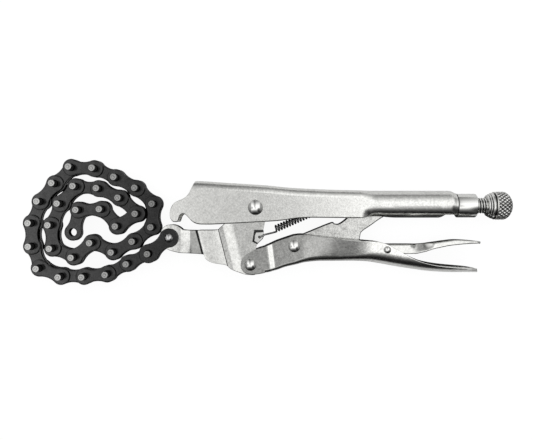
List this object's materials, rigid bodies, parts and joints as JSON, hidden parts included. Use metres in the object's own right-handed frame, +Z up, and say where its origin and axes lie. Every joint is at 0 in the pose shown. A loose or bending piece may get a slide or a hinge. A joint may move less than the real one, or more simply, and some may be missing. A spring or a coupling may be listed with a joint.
{
  "type": "locking chain clamp",
  "caption": "Locking chain clamp, shut, with a hook-nosed channel handle, jogged jaw plates, toggle and release levers, adjusting screw with knurled knob, and a roller chain coiled in front",
  "frame": {"origin": "the main pivot's axis on the plane that the clamp lies on, at the rivet's lower head", "axes": "+X to the adjusting knob, +Y to the back of the upper handle, +Z up along the rivets' axes"},
  "size_m": [0.3184, 0.0817, 0.0224],
  "materials": {
    "nickel_steel": "satin blasted nickel plate",
    "bright_steel": "polished rivet heads",
    "spring_steel": "plated spring wire",
    "black_steel": "oiled black oxide"
  },
  "bodies": {
    "upper_handle": {"upper_handle": "nickel_steel", "thread_bush": "nickel_steel", "main_pivot_rivet": "bright_steel", "tension_spring": "spring_steel"},
    "jaw": {"lower_jaw_plate_near": "nickel_steel", "lower_jaw_plate_far": "nickel_steel", "jaw_nose_lug": "nickel_steel", "spring_block": "nickel_steel", "chain_anchor_rivet": "bright_steel"},
    "lower_handle": {"lower_handle": "nickel_steel", "handle_rivet": "bright_steel", "toggle_rivet": "bright_steel", "release_rivet": "bright_steel"},
    "toggle_link": {"toggle_link": "nickel_steel"},
    "release_lever": {"release_lever": "nickel_steel"},
    "screw": {"adjusting_screw": "nickel_steel"},
    "knob": {"knurled_knob": "nickel_steel"},
    "anchor_link": {"anchor_plate_near": "black_steel", "anchor_plate_far": "black_steel"},
    "chain_link_01": {"outer_link_01": "black_steel"},
    "chain_link_02": {"inner_link_02": "black_steel"},
    "chain_link_03": {"outer_link_03": "black_steel"},
    "chain_link_04": {"inner_link_04": "black_steel"},
    "chain_link_05": {"outer_link_05": "black_steel"},
    "chain_link_06": {"inner_link_06": "black_steel"},
    "chain_link_07": {"outer_link_07": "black_steel"},
    "chain_link_08": {"inner_link_08": "black_steel"},
    "chain_link_09": {"outer_link_09": "black_steel"},
    "chain_link_10": {"inner_link_10": "black_steel"},
    "chain_link_11": {"outer_link_11": "black_steel"},
    "chain_link_12": {"inner_link_12": "black_steel"},
    "chain_link_13": {"outer_link_13": "black_steel"},
    "chain_link_14": {"inner_link_14": "black_steel"},
    "chain_link_15": {"outer_link_15": "black_steel"},
    "chain_link_16": {"inner_link_16": "black_steel"},
    "chain_link_17": {"outer_link_17": "black_steel"},
    "chain_link_18": {"inner_link_18": "black_steel"},
    "chain_link_19": {"outer_link_19": "black_steel"},
    "chain_link_20": {"inner_link_20": "black_steel"},
    "chain_link_21": {"outer_link_21": "black_steel"},
    "chain_link_22": {"inner_link_22": "black_steel"},
    "chain_link_23": {"outer_link_23": "black_steel"},
    "chain_link_24": {"inner_link_24": "black_steel"},
    "chain_link_25": {"outer_link_25": "black_steel"},
    "chain_link_26": {"inner_link_26": "black_steel"},
    "chain_link_27": {"outer_link_27": "black_steel"},
    "chain_link_28": {"inner_link_28": "black_steel"},
    "chain_link_29": {"outer_link_29": "black_steel"},
    "chain_link_30": {"chain_end_link": "black_steel"}
  },
  "joints": [
    {"name": "jaw_open", "type": "hinge", "parent": "upper_handle", "child": "jaw", "pos_m": [0, 0, 0.0112], "axis": [0, 0, 1], "range_deg": [0, 20], "deforming": ["tension_spring"]},
    {"name": "lower_handle_turn", "type": "hinge", "parent": "jaw", "child": "lower_handle", "pos_m": [-0.0032, -0.0368, 0.0112], "axis": [0, 0, 1], "range_deg": [-60.78, 0]},
    {"name": "toggle_turn", "type": "hinge", "parent": "lower_handle", "child": "toggle_link", "pos_m": [0.02485, -0.02483, 0.0112], "axis": [0, 0, 1], "range_deg": [0, 63.46]},
    {"name": "release_turn", "type": "hinge", "parent": "lower_handle", "child": "release_lever", "pos_m": [0.08438, -0.0271, 0.0112], "axis": [0, 0, 1], "range_deg": [-14, 0]},
    {"name": "screw_slide", "type": "slide", "parent": "upper_handle", "child": "screw", "axis": [1, 0, 0], "range_m": [0, 0.012]},
    {"name": "knob_turn", "type": "hinge", "parent": "screw", "child": "knob", "pos_m": [0.1502, 0.0012, 0.0112], "axis": [1, 0, 0], "range_deg": [0, 2880]},
    {"name": "chain_anchor_turn", "type": "hinge", "parent": "jaw", "child": "anchor_link", "pos_m": [-0.0559, -0.0197, 0.0112], "axis": [0, 0, 1], "range_deg": [-56.5, 0]},
    {"name": "chain_turn_01", "type": "hinge", "parent": "anchor_link", "child": "chain_link_01", "pos_m": [-0.06907, -0.02981, 0.0112], "axis": [0, 0, 1], "range_deg": [0, 10]},
    {"name": "chain_turn_02", "type": "hinge", "parent": "chain_link_01", "child": "chain_link_02", "pos_m": [-0.08261, -0.03626, 0.0112], "axis": [0, 0, 1], "range_deg": [0, 5]},
    {"name": "chain_turn_03", "type": "hinge", "parent": "chain_link_02", "child": "chain_link_03", "pos_m": [-0.09597, -0.04307, 0.0112], "axis": [0, 0, 1], "range_deg": [0, 18]},
    {"name": "chain_turn_04", "type": "hinge", "parent": "chain_link_03", "child": "chain_link_04", "pos_m": [-0.11089, -0.04464, 0.0112], "axis": [0, 0, 1], "range_deg": [0, 7]},
    {"name": "chain_turn_05", "type": "hinge", "parent": "chain_link_04", "child": "chain_link_05", "pos_m": [-0.12589, -0.04464, 0.0112], "axis": [0, 0, 1], "range_deg": [0, 29]},
    {"name": "chain_turn_06", "type": "hinge", "parent": "chain_link_05", "child": "chain_link_06", "pos_m": [-0.1399, -0.03927, 0.0112], "axis": [0, 0, 1], "range_deg": [0, 65.5]},
    {"name": "chain_turn_07", "type": "hinge", "parent": "chain_link_06", "child": "chain_link_07", "pos_m": [-0.1449, -0.02513, 0.0112], "axis": [0, 0, 1], "range_deg": [0, 37]},
    {"name": "chain_turn_08", "type": "hinge", "parent": "chain_link_07", "child": "chain_link_08", "pos_m": [-0.14503, -0.01013, 0.0112], "axis": [0, 0, 1], "range_deg": [0, 41.5]},
    {"name": "chain_turn_09", "type": "hinge", "parent": "chain_link_08", "child": "chain_link_09", "pos_m": [-0.13941, 0.00378, 0.0112], "axis": [0, 0, 1], "range_deg": [0, 33]},
    {"name": "chain_turn_10", "type": "hinge", "parent": "chain_link_09", "child": "chain_link_10", "pos_m": [-0.12997, 0.01544, 0.0112], "axis": [0, 0, 1], "range_deg": [0, 17.5]},
    {"name": "chain_turn_11", "type": "hinge", "parent": "chain_link_10", "child": "chain_link_11", "pos_m": [-0.11928, 0.02595, 0.0112], "axis": [0, 0, 1], "range_deg": [0, 59.5]},
    {"name": "chain_turn_12", "type": "hinge", "parent": "chain_link_11", "child": "chain_link_12", "pos_m": [-0.1043, 0.02517, 0.0112], "axis": [0, 0, 1], "range_deg": [0, 27]},
    {"name": "chain_turn_13", "type": "hinge", "parent": "chain_link_12", "child": "chain_link_13", "pos_m": [-0.09049, 0.01931, 0.0112], "axis": [0, 0, 1], "range_deg": [0, 4.5]},
    {"name": "chain_turn_14", "type": "hinge", "parent": "chain_link_13", "child": "chain_link_14", "pos_m": [-0.07718, 0.01238, 0.0112], "axis": [0, 0, 1], "range_deg": [0, 8]},
    {"name": "chain_turn_15", "type": "hinge", "parent": "chain_link_14", "child": "chain_link_15", "pos_m": [-0.06612, 0.00225, 0.0112], "axis": [0, 0, 1], "range_deg": [0, 57.5]},
    {"name": "chain_turn_16", "type": "hinge", "parent": "chain_link_15", "child": "chain_link_16", "pos_m": [-0.06691, -0.01273, 0.0112], "axis": [0, 0, 1], "range_deg": [0, 61.5]},
    {"name": "chain_turn_17", "type": "hinge", "parent": "chain_link_16", "child": "chain_link_17", "pos_m": [-0.07881, -0.02186, 0.0112], "axis": [0, 0, 1], "range_deg": [0, 16]},
    {"name": "chain_turn_18", "type": "hinge", "parent": "chain_link_17", "child": "chain_link_18", "pos_m": [-0.09211, -0.02879, 0.0112], "axis": [0, 0, 1], "range_deg": [0, 48]},
    {"name": "chain_turn_19", "type": "hinge", "parent": "chain_link_18", "child": "chain_link_19", "pos_m": [-0.10587, -0.02281, 0.0112], "axis": [0, 0, 1], "range_deg": [-79, 0]},
    {"name": "chain_turn_20", "type": "hinge", "parent": "chain_link_19", "child": "chain_link_20", "pos_m": [-0.11761, -0.03215, 0.0112], "axis": [0, 0, 1], "range_deg": [0, 55]},
    {"name": "chain_turn_21", "type": "hinge", "parent": "chain_link_20", "child": "chain_link_21", "pos_m": [-0.13147, -0.02641, 0.0112], "axis": [0, 0, 1], "range_deg": [0, 71]},
    {"name": "chain_turn_22", "type": "hinge", "parent": "chain_link_21", "child": "chain_link_22", "pos_m": [-0.13238, -0.01144, 0.0112], "axis": [0, 0, 1], "range_deg": [0, 27.5]},
    {"name": "chain_turn_23", "type": "hinge", "parent": "chain_link_22", "child": "chain_link_23", "pos_m": [-0.12652, 0.00237, 0.0112], "axis": [0, 0, 1], "range_deg": [0, 10]},
    {"name": "chain_turn_24", "type": "hinge", "parent": "chain_link_23", "child": "chain_link_24", "pos_m": [-0.11649, 0.01352, 0.0112], "axis": [0, 0, 1], "range_deg": [0, 29]},
    {"name": "chain_turn_25", "type": "hinge", "parent": "chain_link_24", "child": "chain_link_25", "pos_m": [-0.10154, 0.01221, 0.0112], "axis": [0, 0, 1], "range_deg": [-9, 0]},
    {"name": "chain_turn_26", "type": "hinge", "parent": "chain_link_25", "child": "chain_link_26", "pos_m": [-0.08784, 0.00611, 0.0112], "axis": [0, 0, 1], "range_deg": [-10, 0]},
    {"name": "chain_turn_27", "type": "hinge", "parent": "chain_link_26", "child": "chain_link_27", "pos_m": [-0.07687, -0.00412, 0.0112], "axis": [0, 0, 1], "range_deg": [0, 75.5]},
    {"name": "chain_turn_28", "type": "hinge", "parent": "chain_link_27", "child": "chain_link_28", "pos_m": [-0.08952, -0.01218, 0.0112], "axis": [0, 0, 1], "range_deg": [0, 51]},
    {"name": "chain_turn_29", "type": "hinge", "parent": "chain_link_28", "child": "chain_link_29", "pos_m": [-0.09965, -0.00112, 0.0112], "axis": [0, 0, 1], "range_deg": [-77.5, 0]},
    {"name": "chain_turn_30", "type": "hinge", "parent": "chain_link_29", "child": "chain_link_30", "pos_m": [-0.11464, -0.00164, 0.0112], "axis": [0, 0, 1], "range_deg": [-74.5, 0]}
  ],
  "couplings": [
    {"joint": "lower_handle_turn", "follows": "jaw_open", "ratio": -3.0389},
    {"joint": "toggle_turn", "follows": "jaw_open", "ratio": 3.1726},
    {"joint": "knob_turn", "follows": "screw_slide", "rad_per_m": 4188.8},
    {"joint": "chain_turn_01", "follows": "chain_anchor_turn", "ratio": -0.17699},
    {"joint": "chain_turn_02", "follows": "chain_anchor_turn", "ratio": -0.088495},
    {"joint": "chain_turn_03", "follows": "chain_anchor_turn", "ratio": -0.31858},
    {"joint": "chain_turn_04", "follows": "chain_anchor_turn", "ratio": -0.12389},
    {"joint": "chain_turn_05", "follows": "chain_anchor_turn", "ratio": -0.51327},
    {"joint": "chain_turn_06", "follows": "chain_anchor_turn", "ratio": -1.1593},
    {"joint": "chain_turn_07", "follows": "chain_anchor_turn", "ratio": -0.65487},
    {"joint": "chain_turn_08", "follows": "chain_anchor_turn", "ratio": -0.73451},
    {"joint": "chain_turn_09", "follows": "chain_anchor_turn", "ratio": -0.58407},
    {"joint": "chain_turn_10", "follows": "chain_anchor_turn", "ratio": -0.30973},
    {"joint": "chain_turn_11", "follows": "chain_anchor_turn", "ratio": -1.0531},
    {"joint": "chain_turn_12", "follows": "chain_anchor_turn", "ratio": -0.47788},
    {"joint": "chain_turn_13", "follows": "chain_anchor_turn", "ratio": -0.079646},
    {"joint": "chain_turn_14", "follows": "chain_anchor_turn", "ratio": -0.14159},
    {"joint": "chain_turn_15", "follows": "chain_anchor_turn", "ratio": -1.0177},
    {"joint": "chain_turn_16", "follows": "chain_anchor_turn", "ratio": -1.0885},
    {"joint": "chain_turn_17", "follows": "chain_anchor_turn", "ratio": -0.28319},
    {"joint": "chain_turn_18", "follows": "chain_anchor_turn", "ratio": -0.84956},
    {"joint": "chain_turn_19", "follows": "chain_anchor_turn", "ratio": 1.3982},
    {"joint": "chain_turn_20", "follows": "chain_anchor_turn", "ratio": -0.97345},
    {"joint": "chain_turn_21", "follows": "chain_anchor_turn", "ratio": -1.2566},
    {"joint": "chain_turn_22", "follows": "chain_anchor_turn", "ratio": -0.48673},
    {"joint": "chain_turn_23", "follows": "chain_anchor_turn", "ratio": -0.17699},
    {"joint": "chain_turn_24", "follows": "chain_anchor_turn", "ratio": -0.51327},
    {"joint": "chain_turn_25", "follows": "chain_anchor_turn", "ratio": 0.15929},
    {"joint": "chain_turn_26", "follows": "chain_anchor_turn", "ratio": 0.17699},
    {"joint": "chain_turn_27", "follows": "chain_anchor_turn", "ratio": -1.3363},
    {"joint": "chain_turn_28", "follows": "chain_anchor_turn", "ratio": -0.90265},
    {"joint": "chain_turn_29", "follows": "chain_anchor_turn", "ratio": 1.3717},
    {"joint": "chain_turn_30", "follows": "chain_anchor_turn", "ratio": 1.3186}
  ]
}
